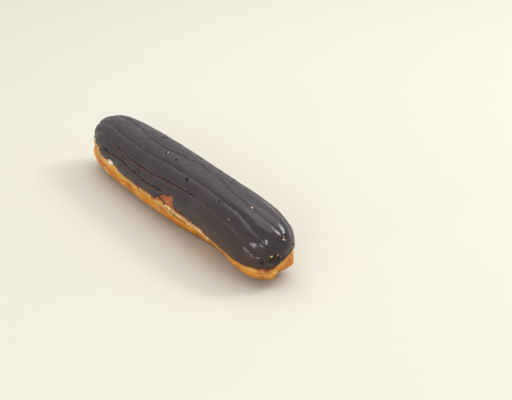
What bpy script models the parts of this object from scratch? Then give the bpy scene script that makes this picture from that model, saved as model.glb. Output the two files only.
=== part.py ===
"""A chocolate eclair: a baked choux finger, piped through a star nozzle, with its top dipped in icing.

Units are metres, +Z is up and X runs along the eclair. The origin is under its middle, on the flat
underside. A point of the surface is named by u, which runs from -1 at one tip to 1 at the other,
and by an angle round the section: 0 points to +Y, 90 degrees up and 180 degrees to -Y.
"""

import math

import bpy
import numpy as np

# Driving dimensions, over the icing
LENGTH = 0.1632
WIDTH = 0.0336
HEIGHT = 0.0308
ICING = 0.0016
CLEARANCE = 0.0003

# Height of the widest line in the middle and at the tips
AXIS_HEIGHT = 0.0128
TIP_HEIGHT = 0.0090

# Shape of the tips, in plan and along the top and the underside: how late the body narrows, and how
# squarely it ends
PLAN_TIP = (6.9, 2.4)
TOP_TIP = (6.1, 4.0)
BASE_TIP = (9.0, 2.5)

# Shape of the section: 2 is an ellipse, and more is squarer
TOP_SQUARENESS = 2.15
BASE_SQUARENESS = 2.5
BASE_FLATTENING = 1.07

# Slow unevenness of the width and of the rise: share, crest and wavelength
SIDE_SWELL = (0.008, -0.020, 0.060)
TOP_SWELL = (0.018, -0.012, 0.100)

# Lower half: how far it flares out under the +X tip and between which places along X the flare
# grows, how far it is tucked in, with the place and the spread, and the share of both on the +Y side
FLARE = (0.0020, 0.050, 0.075)
TUCK = (0.0056, 0.040, 0.022)
BACK_SHARE = 0.4
FLARE_BLEND = 0.45

# Underside: lifted at one corner of the +X tip, by a height that grows over a run from a start along
# X and along Y, and pressed flat where it comes within FLAT_REACH of the ground
LIFT_HEIGHT = 0.0082
LIFT_ALONG = (0.0695, 0.0100)
LIFT_ACROSS = (-0.0080, 0.0068)
FLAT_REACH = 0.0005

# Furrows between the piped ridges. Each has its angle and its sway in degrees, the place along X
# where the sway is greatest, the wavelength of the sway, and where along X the furrow ends.
FURROWS = (
    (-22.0, 2.0, 0.000, 0.110, 0.070),
    (12.0, 2.5, 0.020, 0.080, 0.070),
    (36.0, 4.0, -0.050, 0.090, 0.072),
    (61.0, 4.0, 0.015, 0.104, 0.074),
    (89.5, 6.5, -0.020, 0.076, 0.076),
    (117.5, 4.0, -0.025, 0.110, 0.076),
    (142.5, 5.5, -0.018, 0.100, 0.078),
    (162.0, 3.0, -0.009, 0.054, 0.008),
    (200.0, 2.5, 0.030, 0.090, 0.070),
)
FURROW_FADE = 0.008

# Near the tips the furrows run on over the end, so their angles spread out from the top one
FAN_SHARE = 0.55
FAN_START = 0.060

OUTER_FURROW_FADE = math.radians(12.0)
CHOUX_FURROW = 0.0011
ICING_FURROW = 0.0009
RIDGE_FLATNESS = 3.0

# Lower edge of the icing on each side: its height, the size of its slow wave, the wavelength and
# where along X it lies lowest. EDGE_DROP is how far it drops towards the +X tip, and between which
# places along X.
FRONT_EDGE = (0.0146, 0.0014, 0.092, -0.022)
BACK_EDGE = (0.0140, 0.0012, 0.084, 0.020)
EDGE_DROP = (0.0043, 0.044, 0.074)

# Places where the icing stops short: height, place along X and spread
FRONT_BARE_PATCH = (0.0036, 0.0112, 0.0056)
FAR_BARE_TIP = (0.0026, -0.0720, 0.0090)
BACK_BARE_TIP = (0.0052, 0.0800, 0.0070)
CREAM_NOTCH = (0.0026, -0.0436, 0.0036)

# Icing: the bare arc left at the -X tip and at the +X tip, and the thickness of the rim as shares
# of the full one
TIP_GAPS = (0.0042, 0.0026)
RIM_SPACING = 0.0008
RIM_THICKNESS = (0.30, 0.85)

# A bead of cream that has worked out under the edge of the icing: full length, depth and height,
# how far its middle lies below the edge, and how far it stands off the choux
CREAM_SIZE = (0.0034, 0.0012, 0.0022)
CREAM_DROP = 0.0024
CREAM_CLEARANCE = 0.0005
CREAM_RINGS = 7
CREAM_SIDES = 12

# Mesh fineness
NARROWEST_RIDGE = math.radians(5.0)
RINGS = 58
PROFILE_SAMPLES = 4001
RIDGE_STEPS = (0.0, 0.18, 0.5, 0.82)
EDGE_RIDGE_STEPS = (0.0, 0.12, 0.45, 0.78)
HIDDEN_STEPS = (0.0, 0.5)
UNDERSIDE_STEPS = 14

# Finish of each piece: colour, roughness and metallic value
CHOUX_FINISH = ((0.62, 0.30, 0.075, 1.0), 0.60, 0.0)
ICING_FINISH = ((0.060, 0.045, 0.043, 1.0), 0.38, 0.0)
CREAM_FINISH = ((0.86, 0.82, 0.72, 1.0), 0.45, 0.0)


def clear_scene():
    """Remove every object that the file opened with."""
    for leftover in list(bpy.data.objects):
        bpy.data.objects.remove(leftover, do_unlink=True)


def bell(x, centre, spread):
    """A smooth bump of height 1 at the centre."""
    return np.exp(-(((x - centre) / spread) ** 2))


def wave(x, crest, wavelength):
    """A cosine along X with a crest at the given place."""
    return np.cos(2.0 * math.pi * (x - crest) / wavelength)


def smooth_step(value):
    """Rise smoothly from 0 to 1 as the value does."""
    value = np.clip(value, 0.0, 1.0)
    return value * value * (3.0 - 2.0 * value)


def fullness(u, bluntness, squareness):
    """Share of the full size that is left at u: 1 along the body and 0 at the tips."""
    return np.clip(1.0 - np.abs(u) ** bluntness, 0.0, 1.0) ** (1.0 / squareness)


def position_along(u):
    """X of the bare choux at u."""
    return u * (LENGTH / 2.0 - ICING)


def axis_height(u):
    """Height of the widest line at u."""
    return AXIS_HEIGHT + (TIP_HEIGHT - AXIS_HEIGHT) * np.abs(u) ** PLAN_TIP[0]


def arc_table():
    """Distance along the plan outline from the -X tip, against u."""
    u = np.sin(np.linspace(-math.pi / 2.0, math.pi / 2.0, PROFILE_SAMPLES))
    outline = np.stack([position_along(u), fullness(u, *PLAN_TIP) * WIDTH / 2.0])
    steps = np.hypot(*np.diff(outline))
    return np.concatenate([[0.0], np.cumsum(steps)]), u


def stations():
    """Values of u for the rings: evenly spaced along the outline, with closer ones at the icing's rim."""
    arc, u = arc_table()
    start, end = TIP_GAPS[0], arc[-1] - TIP_GAPS[1]
    body = np.linspace(start + RIM_SPACING, end - RIM_SPACING, RINGS - 2)
    return np.interp(np.concatenate([[start], body, [end]]), arc, u)


def furrow_angles(u):
    """Angle of each furrow at u, one row for each furrow."""
    x = position_along(u)
    rows = [angle + sway * wave(x, crest, length) for angle, sway, crest, length, _ in FURROWS]
    from_top = np.stack(rows) / 90.0 - 1.0
    fan = FAN_SHARE * smooth_step((np.abs(x) - FAN_START) / (LENGTH / 2.0 - FAN_START))
    from_top += fan * from_top * np.maximum(0.0, 1.0 - from_top**2)
    return math.pi / 2.0 * (1.0 + from_top)


def furrow_strengths(u):
    """Depth of each furrow at u as a share of the deepest, one row for each furrow."""
    x = position_along(u)
    rows = [np.clip((end - x) / FURROW_FADE + 0.5, 0.0, 1.0) for *_, end in FURROWS]
    return np.stack(rows)


def furrow_depth(u, angle):
    """How deep the surface lies below the ridge tops, from 0 on a ridge to 1 in a furrow."""
    furrows = furrow_angles(u)
    strengths = furrow_strengths(u)
    depth = np.zeros(angle.shape)
    for low in range(len(FURROWS) - 1):
        share = (angle - furrows[low]) / (furrows[low + 1] - furrows[low])
        strength = np.where(share < 0.5, strengths[low], strengths[low + 1])
        ridge = strength * np.abs(2.0 * share - 1.0) ** RIDGE_FLATNESS
        depth = np.where((share >= 0.0) & (share <= 1.0), ridge, depth)
    return depth * np.minimum(1.0, 2.2 * fullness(u, *PLAN_TIP))


def outer_furrow_depth(u, angle):
    """The same below the lowest furrow on each side, where the surface flattens out."""
    furrows = furrow_angles(u)
    past = np.maximum(furrows[0] - angle, angle - furrows[-1])
    fading = np.clip(1.0 - past / OUTER_FURROW_FADE, 0.0, 1.0) ** RIDGE_FLATNESS
    return np.where(past > 0.0, fading, 0.0) * np.minimum(1.0, 2.2 * fullness(u, *PLAN_TIP))


def underside_lift(x, y):
    """How far the underside has lifted near the +X tip."""
    along = smooth_step((x - LIFT_ALONG[0]) / LIFT_ALONG[1])
    return LIFT_HEIGHT * along * smooth_step((y - LIFT_ACROSS[0]) / LIFT_ACROSS[1])


def swell(x, share, crest, wavelength):
    """Slow change of a size along X, as a factor near 1."""
    return 1.0 + share * wave(x, crest, wavelength)


def flare(x, across, up):
    """How far the lower half stands out from the upper one at X, growing from the widest line down."""
    size, start, end = FLARE
    out = size * smooth_step((x - start) / (end - start)) - TUCK[0] * bell(x, *TUCK[1:])
    share = BACK_SHARE + (1.0 - BACK_SHARE) * smooth_step(0.5 - across)
    return out * share * smooth_step(-up / FLARE_BLEND)


def surface(u, angle, grow=0.0, furrow=CHOUX_FURROW):
    """Points of the choux surface, or of one that lies outside it by grow, as an array of x, y, z."""
    u, angle, grow = np.broadcast_arrays(u, angle, grow)
    across, up = np.cos(angle), np.sin(angle)
    left = fullness(u, *PLAN_TIP)
    x = u * (LENGTH / 2.0 - ICING + grow)
    axis = axis_height(u)
    out = flare(x, across, up)
    half_width = ((WIDTH / 2.0 - ICING + grow) * swell(x, *SIDE_SWELL) + out) * left
    rise = (HEIGHT - axis - ICING + grow) * swell(x, *TOP_SWELL) * fullness(u, *TOP_TIP)
    drop = BASE_FLATTENING * axis * fullness(u, *BASE_TIP) + grow
    x = x + u * out * np.minimum(1.0, 3.0 * left)

    squareness = np.where(up >= 0.0, TOP_SQUARENESS, BASE_SQUARENESS)
    side = np.sign(across) * np.abs(across) ** (2.0 / squareness)
    lift = np.abs(up) ** (2.0 / squareness)
    dent = furrow * (furrow_depth(u, angle) + outer_furrow_depth(u, angle))
    y = half_width * side - dent * across
    z = axis + np.where(up >= 0.0, rise, -drop) * lift - dent * up
    z = np.where(up < 0.0, np.maximum(z, underside_lift(x, y)), z)
    z = np.where(z < FLAT_REACH, 0.0, z)
    return np.stack([x, y, z], axis=-1)


def angle_at_height(u, height):
    """Angle above the widest line at which the choux surface reaches a height, negative below it."""
    axis = axis_height(u)
    above = (height - axis) / ((HEIGHT - axis - ICING) * np.maximum(fullness(u, *TOP_TIP), 0.2))
    below = (axis - height) / (BASE_FLATTENING * axis * np.maximum(fullness(u, *BASE_TIP), 0.2))
    rising = np.arcsin(np.clip(above, 0.0, 0.95) ** (TOP_SQUARENESS / 2.0))
    falling = np.arcsin(np.clip(below, 0.0, 0.6) ** (BASE_SQUARENESS / 2.0))
    return np.where(height >= axis, rising, -falling)


def edge_line(x, height, size, wavelength, lowest_at):
    """Height of the icing's lower edge along one side."""
    drop, start, end = EDGE_DROP
    drop = drop * smooth_step((x - start) / (end - start))
    return height - size * wave(x, lowest_at, wavelength) - drop


def patch(x, height, centre, spread):
    """How much higher the icing ends round one bare place."""
    return height * bell(x, centre, spread)


def back_edge(x):
    """Height of the icing's lower edge on the +Y side."""
    return edge_line(x, *BACK_EDGE) + patch(x, *FAR_BARE_TIP) + patch(x, *BACK_BARE_TIP)


def front_edge(x):
    """Height of the icing's lower edge on the -Y side."""
    bare = patch(x, *FAR_BARE_TIP) + patch(x, *FRONT_BARE_PATCH) + patch(x, *CREAM_NOTCH)
    return edge_line(x, *FRONT_EDGE) + bare


def edge_angles(u):
    """Angles at which the icing ends on the +Y side and on the -Y side."""
    x = position_along(u)
    return angle_at_height(u, back_edge(x)), math.pi - angle_at_height(u, front_edge(x))


def iced_angles(u, steps, edge_steps):
    """Angles of the mesh lines over the iced top at each u, from the +Y edge to the -Y edge."""
    low, high = edge_angles(u)
    guides = np.vstack([low, furrow_angles(u)[1:-1], high])
    last = len(guides) - 2
    order = np.arange(len(guides))[:, None] * NARROWEST_RIDGE
    guides = np.clip(guides, low + order, high - order[::-1])
    shares = [steps] * (last + 1)
    shares[0] = edge_steps
    shares[last] = [0.0] + [1.0 - share for share in reversed(edge_steps[1:])]
    lines = [
        guides[panel] + (guides[panel + 1] - guides[panel]) * share
        for panel, panel_shares in enumerate(shares)
        for share in panel_shares
    ]
    return np.stack(lines + [high], axis=1)


def grid_faces(rows, columns, first, flip=False, wrapped=False):
    """Quads over a grid of points that are numbered row by row from first."""
    faces = []
    for row in range(rows - 1):
        for column in range(columns if wrapped else columns - 1):
            beside = (column + 1) % columns
            corner = first + row * columns
            quad = (corner + column, corner + beside)
            quad += (corner + columns + beside, corner + columns + column)
            faces.append(quad[::-1] if flip else quad)
    return faces


def add_solid(name, points, faces, finish):
    """Make an object with its own material from points and faces, shaded smooth."""
    mesh = bpy.data.meshes.new(name)
    mesh.from_pydata([tuple(point) for point in points], [], faces)
    mesh.validate()
    mesh.shade_smooth()
    colour, roughness, metallic = finish
    material = bpy.data.materials.new(name + "_finish")
    material.use_nodes = True
    shader = material.node_tree.nodes["Principled BSDF"]
    shader.inputs["Base Color"].default_value = colour
    shader.inputs["Roughness"].default_value = roughness
    shader.inputs["Metallic"].default_value = metallic
    mesh.materials.append(material)
    solid = bpy.data.objects.new(name, mesh)
    bpy.context.scene.collection.objects.link(solid)
    return solid


def add_choux():
    """The whole baked finger, under the icing too, as rings between two tips."""
    u = stations()
    iced = iced_angles(u, HIDDEN_STEPS, HIDDEN_STEPS)
    shares = np.arange(1, UNDERSIDE_STEPS) / UNDERSIDE_STEPS
    to_start = 2.0 * math.pi + iced[:, :1] - iced[:, -1:]
    angles = np.hstack([iced, iced[:, -1:] + to_start * shares])
    rings = surface(u[:, None], angles)
    rows, columns = angles.shape
    tips = surface(np.array([-1.0, 1.0]), np.zeros(2))
    points = np.vstack([rings.reshape(-1, 3), tips])
    faces = grid_faces(rows, columns, 0, wrapped=True)
    start_tip, end_tip, last_ring = rows * columns, rows * columns + 1, (rows - 1) * columns
    for column in range(columns):
        beside = (column + 1) % columns
        faces.append((start_tip, beside, column))
        faces.append((end_tip, last_ring + column, last_ring + beside))
    return add_solid("choux", points, faces, CHOUX_FINISH)


def icing_thickness(rows, columns):
    """Share of the full thickness at each point of the icing, thinner at the rim all round."""
    row = np.ones(rows)
    column = np.ones(columns)
    for step, share in enumerate(RIM_THICKNESS):
        row[[step, -1 - step]] = share
        column[[step, -1 - step]] = share
    return np.minimum(row[:, None], column)


def add_icing():
    """A shell over the top of the choux: an outer and an inner skin, joined round the rim."""
    u = stations()
    angles = iced_angles(u, RIDGE_STEPS, EDGE_RIDGE_STEPS)
    rows, columns = angles.shape
    thickness = CLEARANCE + (ICING - CLEARANCE) * icing_thickness(rows, columns)
    outer = surface(u[:, None], angles, thickness, ICING_FURROW)
    inner = surface(u[:, None], angles, CLEARANCE, CHOUX_FURROW)
    count = rows * columns
    points = np.vstack([outer.reshape(-1, 3), inner.reshape(-1, 3)])
    faces = grid_faces(rows, columns, 0) + grid_faces(rows, columns, count, flip=True)
    number = np.arange(count).reshape(rows, columns)
    loop = np.concatenate(
        [number[0, :-1], number[:-1, -1], number[-1, :0:-1], number[:0:-1, 0]]
    ).tolist()
    for here, after in zip(loop, loop[1:] + loop[:1]):
        faces.append((after, here, here + count, after + count))
    return add_solid("icing", points, faces, ICING_FINISH)


def add_cream():
    """A small bead of cream against the side of the choux, in the notch under the icing."""
    length, depth, height = CREAM_SIZE
    x = CREAM_NOTCH[1]
    u = np.array([x / (LENGTH / 2.0 - ICING)])
    angle = math.pi - angle_at_height(u, front_edge(x) - CREAM_DROP)
    seat = surface(u, angle, depth / 2.0 + CREAM_CLEARANCE)[0]
    points = [seat + (-length / 2.0, 0.0, 0.0)]
    for ring in range(1, CREAM_RINGS):
        along = -math.cos(math.pi * ring / CREAM_RINGS)
        size = math.sin(math.pi * ring / CREAM_RINGS)
        for side in range(CREAM_SIDES):
            turn = 2.0 * math.pi * side / CREAM_SIDES
            y = depth / 2.0 * size * math.cos(turn)
            z = height / 2.0 * size * math.sin(turn)
            points.append(seat + (along * length / 2.0, y, z))
    points.append(seat + (length / 2.0, 0.0, 0.0))
    faces = grid_faces(CREAM_RINGS - 1, CREAM_SIDES, 1, wrapped=True)
    last = len(points) - 1
    for side in range(CREAM_SIDES):
        beside = (side + 1) % CREAM_SIDES
        faces.append((0, 1 + beside, 1 + side))
        faces.append((last, last - CREAM_SIDES + side, last - CREAM_SIDES + beside))
    return add_solid("cream", points, faces, CREAM_FINISH)


def main():
    clear_scene()
    add_choux()
    add_icing()
    add_cream()


main()
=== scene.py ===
"""The looks of a chocolate eclair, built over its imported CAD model.

Units are metres, in the model's own frame: +Z is up, X runs along the eclair and -Y is the side that
faces the camera. A point of the surface is named by u, which runs from -1 at one tip to 1 at the other,
and by an angle round the section: 0 points to +Y, 90 degrees up and 180 degrees to -Y.
"""

import itertools
import math

import bmesh
import bpy
import numpy as np
from mathutils import Euler, Matrix, Vector

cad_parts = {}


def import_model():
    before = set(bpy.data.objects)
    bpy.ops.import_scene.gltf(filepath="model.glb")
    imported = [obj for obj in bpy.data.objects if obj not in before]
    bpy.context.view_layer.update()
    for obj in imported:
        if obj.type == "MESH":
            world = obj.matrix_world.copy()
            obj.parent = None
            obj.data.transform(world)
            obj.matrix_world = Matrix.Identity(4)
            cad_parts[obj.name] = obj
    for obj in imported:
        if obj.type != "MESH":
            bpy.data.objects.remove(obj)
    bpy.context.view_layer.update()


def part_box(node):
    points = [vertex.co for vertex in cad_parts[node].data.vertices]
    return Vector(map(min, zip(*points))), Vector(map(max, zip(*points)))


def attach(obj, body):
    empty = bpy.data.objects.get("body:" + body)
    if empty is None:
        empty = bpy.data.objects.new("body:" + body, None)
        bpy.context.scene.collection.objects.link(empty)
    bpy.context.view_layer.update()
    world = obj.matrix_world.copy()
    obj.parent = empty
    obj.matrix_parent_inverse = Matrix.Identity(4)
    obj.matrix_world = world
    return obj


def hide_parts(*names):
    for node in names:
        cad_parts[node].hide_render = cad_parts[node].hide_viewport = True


BODY = "root"
MM = 0.001

# Driving dimensions of the CAD model
LENGTH = 0.1632
WIDTH = 0.0336
HEIGHT = 0.0308
ICING = 0.0016
AXIS_HEIGHT = 0.0128
TIP_HEIGHT = 0.0090
PLAN_TIP = (6.9, 2.4)
TOP_TIP = (6.1, 4.0)
BASE_TIP = (9.0, 2.5)
TOP_SQUARENESS = 2.15
BASE_SQUARENESS = 2.5
BASE_FLATTENING = 1.07
SIDE_SWELL = (0.008, -0.020, 0.060)
TOP_SWELL = (0.018, -0.012, 0.100)
FLARE = (0.0020, 0.050, 0.075)
TUCK = (0.0056, 0.040, 0.022)
BACK_SHARE = 0.4
FLARE_BLEND = 0.45
LIFT_HEIGHT = 0.0082
LIFT_ALONG = (0.0695, 0.0100)
LIFT_ACROSS = (-0.0080, 0.0068)
FLAT_REACH = 0.0005

# Furrows between the piped ridges, as in the CAD model: angle and sway in degrees, the place along X
# where the sway is greatest, the wavelength of the sway, and where along X the furrow ends
FURROWS = (
    (-22.0, 2.0, 0.000, 0.110, 0.070),
    (12.0, 2.5, 0.020, 0.080, 0.070),
    (36.0, 4.0, -0.050, 0.090, 0.072),
    (61.0, 4.0, 0.015, 0.104, 0.074),
    (89.5, 6.5, -0.020, 0.076, 0.076),
    (117.5, 4.0, -0.025, 0.110, 0.076),
    (142.5, 5.5, -0.018, 0.100, 0.078),
    (162.0, 3.0, -0.009, 0.054, 0.008),
    (200.0, 2.5, 0.030, 0.090, 0.070),
)
FURROW_FADE = 0.008
FAN_SHARE = 0.55
FAN_START = 0.060
OUTER_FURROW_FADE = math.radians(12.0)
CHOUX_FURROW = 0.0011
COAT_FURROW = 0.0006
NEAR_END = (0.050, 0.070)
RIDGE_FLATNESS = 3.0

# Wander of the furrows, in degrees, and its wavelengths
FURROW_WANDER = 0.55
WANDER_LENGTHS = (0.019, 0.0083, 0.0037)

# Cracks at the bottom of the iced furrows, one for each but the outermost two: depth and half width
# in millimetres, the step down in millimetres on the side that the sign gives, the strength of the
# line of painted shade and of the red line beside it, and the places along X in millimetres where it opens
# and closes
CRACKS = (
    (0.32, 0.30, -0.20, 0.7, 0.6, -66.0, 70.0),
    (0.45, 0.34, -0.45, 0.8, 0.8, -44.0, 50.0),
    (0.38, 0.30, -0.20, 0.7, 0.7, -64.0, 66.0),
    (0.40, 0.32, 0.18, 0.8, 0.9, -62.0, 76.0),
    (0.46, 0.34, 0.26, 0.9, 0.9, -54.0, 70.0),
    (0.70, 0.46, 0.55, 1.0, 1.0, -46.0, 30.0),
    (0.80, 0.55, 0.30, 1.0, 0.5, -52.0, 9.0),
)

# All cracks: share of the depth that is left where one is closed, length in millimetres in which it
# opens, wavelengths of its depth, size and wavelengths of its bends, and how far its step reaches
CLOSED_CRACK = 0.38
CRACK_FADE = 5.0
CRACK_LENGTHS = (0.027, 0.011, 0.0046)
CRACK_BENDS = (0.00016, 0.0046, 0.0019)
STEP_FADE = 0.0032

# Usual, varying and least share of a crack's depth, how steep its walls are, and in half widths how
# wide its line of painted shade is, how far off its red line lies and how wide that is
CRACK_SHARES = (0.85, 0.40, 0.35)
CRACK_STEEPNESS = 1.6
SHADE_LINE_SPREAD = 0.9
RED_FLANK = 1.7
RED_SPREAD = 1.2

# Lower edge of the icing in millimetres: its height at the -X tip, and then each rise or drop along
# X as its place, its size and the length that it takes
FRONT_EDGE_START = 17.9
FRONT_EDGE_STEPS = (
    (-65.3, -1.3, 1.6),
    (-59.9, -1.9, 1.4),
    (-57.4, -0.9, 2.4),
    (-52.5, 0.5, 4.0),
    (-47.0, 1.3, 3.2),
    (-41.5, -1.9, 3.0),
    (-35.0, -1.2, 9.0),
    (-12.0, 0.8, 11.0),
    (-4.8, -0.6, 2.0),
    (0.6, 2.1, 4.2),
    (4.9, 2.6, 4.0),
    (11.0, 1.3, 3.6),
    (16.2, -3.3, 0.5),
    (17.6, -0.4, 1.6),
    (30.0, -0.8, 14.0),
    (44.5, -1.9, 13.0),
    (57.5, -2.6, 15.0),
    (67.0, -0.6, 9.0),
)
BACK_EDGE_START = 17.6
BACK_EDGE_STEPS = (
    (-63.0, -2.6, 6.0),
    (-52.0, -1.1, 5.0),
    (-41.0, 1.2, 7.0),
    (-28.0, -1.0, 4.0),
    (-14.0, 0.7, 10.0),
    (-2.0, -1.2, 5.0),
    (9.0, 0.9, 9.0),
    (22.0, 1.4, 5.0),
    (31.0, -2.2, 2.4),
    (42.0, 0.8, 8.0),
    (55.0, -1.3, 10.0),
    (68.0, 1.2, 9.0),
)
EDGE_ROUND_TIP = 0.012
EDGE_NOISE = ((0.0060, 0.0005), (0.0022, 0.00030), (0.0009, 0.00016))

# Icing: usual thickness, how deep it is sunk past its edge, and how it thickens from the edge in
NORMAL_ICING = 0.00138
SUNK_ICING = -0.0007
RIM_RADIUS = 0.0007
RIM_SHARE = 0.62
RIM_RUN = 0.0050
ICING_UNEVENNESS = (
    (0.0110, 0.00010),
    ((0.0075, 0.0036, 0.0036), 0.00005),
    ((0.0045, 0.0014, 0.0014), 0.000024),
)

# How much more uneven the icing is near the +X tip, where along X that ends and in what length, and
# how uneven it is past there
CRINKLE = 1.4
CRINKLE_END = 0.0775
CRINKLE_FADE = 0.0030
TIP_UNEVENNESS = 0.3

# Torn edge of the icing at the +X tip: where it starts along X and in height, each with the length of
# the change in millimetres, and in metres its depth and the size of its rags
TORN_ALONG = (77.5, 1.5)
TORN_BELOW = (17.0, 2.0)
TORN_HEIGHT = 0.00032
TEAR_SIZE = 0.0010

# Painted warm reflection of the floor on the icing low on the front, in millimetres: where it starts across
# and along X, each with the length of the change, and how far in it reaches
REFLECTION_ACROSS = (4.0, 6.0)
REFLECTION_ALONG = (20.0, 25.0)
REFLECTION_REACH = 6.0

# Pits, hollows and bumps of the icing in millimetres: place, reach along X, Y and Z, and depth, which
# is below 0 for a bump
ICING_MARKS = (
    ((-25.0, 3.9, 30.3), (1.7, 1.1, 1.0), 1.10),
    ((-8.7, -4.1, 30.8), (1.0, 0.9, 0.9), 0.70),
    ((1.0, -4.7, 30.1), (1.0, 0.85, 0.85), 1.00),
    ((18.3, -8.9, 27.7), (1.5, 1.0, 1.0), 1.15),
    ((44.6, -8.6, 27.6), (0.8, 0.7, 0.7), 0.60),
    ((-31.9, -16.4, 16.9), (0.5, 0.5, 0.5), 0.30),
    ((-33.1, -15.1, 21.4), (0.7, 0.5, 0.5), 0.45),
    ((-33.1, -11.0, 27.0), (0.5, 0.4, 0.4), 0.30),
    ((-30.2, -10.3, 27.6), (0.5, 0.4, 0.4), 0.30),
    ((-50.5, -15.6, 19.0), (3.6, 1.1, 0.9), 0.95),
    ((10.1, -15.0, 21.8), (1.0, 0.8, 0.8), -0.30),
    ((6.8, -6.7, 29.6), (0.32, 1.5, 0.8), 0.28),
    ((-20.0, 6.5, 30.0), (3.5, 2.2, 1.5), -0.22),
    ((-16.0, -15.5, 20.6), (2.0, 1.0, 1.4), 0.25),
    ((78.4, 1.7, 21.7), (1.4, 1.3, 1.0), 0.90),
    ((80.5, -3.6, 13.9), (2.6, 5.0, 2.1), 1.20),
    ((78.0, -8.4, 12.5), (1.6, 1.0, 1.8), 0.45),
    ((30.0, 9.5, 28.2), (0.8, 0.7, 0.7), 0.70),
    ((-4.0, 13.5, 23.8), (0.9, 0.7, 0.7), 0.65),
    ((-55.0, 8.0, 28.4), (0.7, 0.6, 0.6), 0.60),
    ((52.0, 14.2, 21.5), (1.6, 0.9, 0.9), 0.55),
)

# All marks: outline as its usual size, its change and the size of its rags, reach and roundness of the
# bowl, height, place and spread of its raised rim, and how much painted shade it gets from the depth and the
# reach
MARK_OUTLINE = (1.0, 0.25, 0.0009)
BOWL_REACH = 1.15
BOWL_ROUNDNESS = 0.7
MARK_RIM = (0.07, 1.25, 0.28)
MARK_PAINTED_SHADE = (1.4, 0.45)

# Points that the cream is drawn out into: direction, and length as a share of the bead's half size
CREAM_POINTS = (
    ((-0.72, -0.1, 0.80), 0.80),
    ((1.00, 0.1, 0.05), 0.95),
    ((0.50, -0.1, 0.90), 0.45),
    ((-1.00, -0.4, -0.35), 0.45),
    ((0.05, -0.4, -1.00), 0.50),
)

# Cosine where those points start and the span to their tip, and body and lumps of the cream as shares
# of its half size
CREAM_CONE = (0.70, 0.30)
CREAM_BODY = 0.62
CREAM_LUMPS = ((1.1, 0.12), (0.5, 0.10), (0.22, 0.04))

# Crumbs that lie on the icing, in millimetres: place, size, and tone from 0, pale, to 1, dark red
ICING_CRUMBS = (
    ((-8.1, -3.8, 31.0), 0.75, 0.02),
    ((-6.8, -7.0, 29.9), 0.70, 0.78),
    ((-23.3, -8.5, 28.7), 0.55, 0.70),
    ((3.7, 1.5, 30.9), 0.40, 0.45),
    ((22.3, -12.6, 25.1), 0.50, 0.30),
    ((60.5, -1.8, 29.7), 1.30, 0.40),
    ((57.4, -11.9, 24.9), 0.75, 0.46),
    ((-41.8, 0.4, 30.5), 0.50, 0.48),
    ((-60.1, -12.2, 23.6), 0.50, 0.72),
    ((-66.3, -13.4, 19.4), 0.90, 0.25),
    ((78.5, 2.2, 21.9), 0.75, 0.45),
    ((78.9, 1.0, 21.2), 0.95, 0.42),
    ((78.6, 1.5, 22.8), 0.40, 0.50),
    ((80.2, -5.0, 14.9), 1.20, 0.46),
    ((80.7, -2.6, 15.3), 0.80, 0.60),
    ((80.6, -3.6, 14.0), 0.45, 0.80),
    ((80.6, -0.6, 14.4), 0.45, 0.75),
    ((-31.9, -16.4, 16.9), 0.35, 0.05),
    ((18.0, 12.6, 25.4), 0.60, 0.35),
    ((-36.0, 11.4, 26.6), 0.70, 0.30),
    ((44.0, 7.6, 29.0), 0.50, 0.55),
)

# Ragged bits of icing at its edge, in millimetres: place and size
ICING_BITS = (
    ((79.6, 7.6, 17.5), 1.5),
    ((80.4, 5.6, 15.2), 1.3),
    ((80.6, 4.2, 14.6), 0.9),
    ((81.0, 0.6, 13.0), 0.7),
    ((80.9, -3.8, 12.0), 0.8),
    ((79.5, -6.6, 11.2), 1.0),
    ((-76.0, -8.5, 16.2), 1.3),
    ((-74.0, -10.4, 16.0), 1.1),
    ((-77.6, -6.0, 16.8), 1.2),
    ((-71.5, -12.0, 15.8), 0.8),
    ((1.5, -15.4, 15.5), 1.0),
    ((-3.4, -16.0, 13.6), 0.8),
    ((8.2, -15.0, 18.6), 0.8),
)

# Dust on the icing: number, sizes and least distance from the edge in millimetres, and tones
DUST = 90
DUST_SIZES = (0.12, 0.26)
DUST_MARGIN = 1.5
DUST_TONES = (0.1, 0.9)

# Proportions of the crumbs, how far crumbs and dust are raised as a share of their half height, and
# their bumps: usual size, change and spacing, and the step from one crumb to the next
CRUMB_SQUASH = (1.0, 0.62, 0.55)
CRUMB_RAISE = 0.45
DUST_RAISE = 0.25
LUMP_BUMPS = (1.0, 0.32, 0.9)
LUMP_STEP = 7.3

# Choux under the icing's front edge, in millimetres: places along X with how far down a thin red film
# of icing reaches and with the height of the flaky rim. Each groove, under and over the rim, is darkened
# with painted shade, and has its half width and then its heights
FILM_DEPTHS = (
    (-36.0, 0.7), (-26.0, 1.1), (-8.0, 1.6), (0.0, 1.8), (5.0, 3.2), (10.0, 5.0), (15.5, 5.2), (17.0, 1.9),
    (28.0, 1.7), (36.0, 1.0), (46.0, 0.7),
)
RIM_LINE = ((8.0, 13.1), (13.0, 12.9), (20.6, 12.5), (29.5, 12.8), (39.0, 13.4), (52.0, 12.8))
RIM_ENDS = (7.0, 52.0)
RIM_SPREAD = 0.85
RIM_HEIGHT = 0.55
GROOVES = (
    (0.90, ((2.0, 14.6), (6.0, 13.7), (9.5, 13.2), (12.5, 11.6), (15.5, 10.7), (20.0, 10.1), (29.0, 10.6))),
    (0.50, ((15.0, 14.2), (19.0, 13.9), (27.2, 14.3), (34.0, 14.9))),
)
GROOVE_DEPTH = 0.70

# Lengths in millimetres in which these fade out, all towards the back and each at its ends, and their
# unevenness: usual share, its change, and the size of its patches in metres
FRONT_FADE = 4.0
RIM_FADE = 5.0
GROOVE_FADE = 3.0
FILM_FADE = 0.8
RIM_RAGS = (0.5, 0.9, (0.0011, 0.0007, 0.0007))
GROOVE_SPLITS = (0.75, 1.2, (0.0030, 0.0009, 0.0009))
FILM_RAGS = (1.0, 0.35, 0.0016)
FILM_MOTTLING = (0.85, 0.4, (0.0016, 0.0009, 0.0009))

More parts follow.
